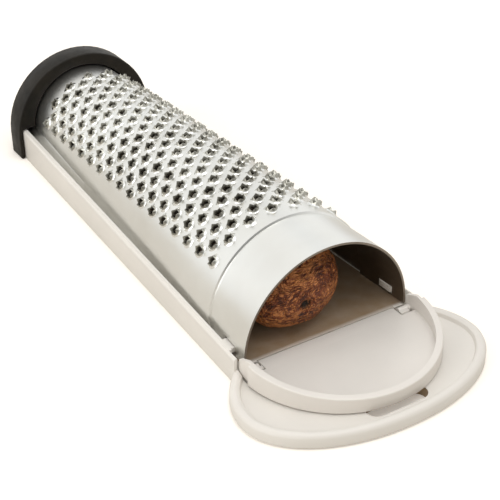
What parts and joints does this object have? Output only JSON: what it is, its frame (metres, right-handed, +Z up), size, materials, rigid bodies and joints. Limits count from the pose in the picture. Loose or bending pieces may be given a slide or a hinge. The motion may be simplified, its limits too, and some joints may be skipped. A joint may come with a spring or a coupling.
{
  "type": "hand nutmeg grater",
  "caption": "Tapered half-round steel nutmeg grater on a plastic tray with a wide slotted tab, a hinged lid, a black end cap and a whole nutmeg in its store.",
  "frame": {"origin": "centre of the footprint, on the surface that the grater lies on", "axes": "+X across, +Y from the lid and mouth towards the narrow end, +Z up"},
  "size_m": [0.0596, 0.1536, 0.0269],
  "materials": {
    "tray_plastic": "warm white moulded plastic, satin",
    "grater_steel": "polished stainless sheet with punched teeth",
    "cap_rubber": "black, matte with a soft sheen",
    "lid_plastic": "warm white moulded plastic, satin",
    "nutmeg_seed": "wrinkled brown seed"
  },
  "bodies": {
    "base": {"tray": "tray_plastic", "grater": "grater_steel"},
    "lid": {"lid": "lid_plastic"},
    "end_cap": {"end_cap": "cap_rubber"},
    "nutmeg": {"nutmeg": "nutmeg_seed"}
  },
  "joints": [
    {"name": "lid_hinge", "type": "hinge", "parent": "base", "child": "lid", "pos_m": [0, -0.0473, 0.0035], "axis": [-1, 0, 0], "range_deg": [0, 90]},
    {"name": "end_cap_pull", "type": "slide", "parent": "base", "child": "end_cap", "axis": [0, 1, 0], "range_m": [0, 0.012]},
    {"name": "nutmeg_slide", "type": "slide", "parent": "base", "child": "nutmeg", "axis": [0, 1, 0], "range_m": [0, 0.02]}
  ]
}
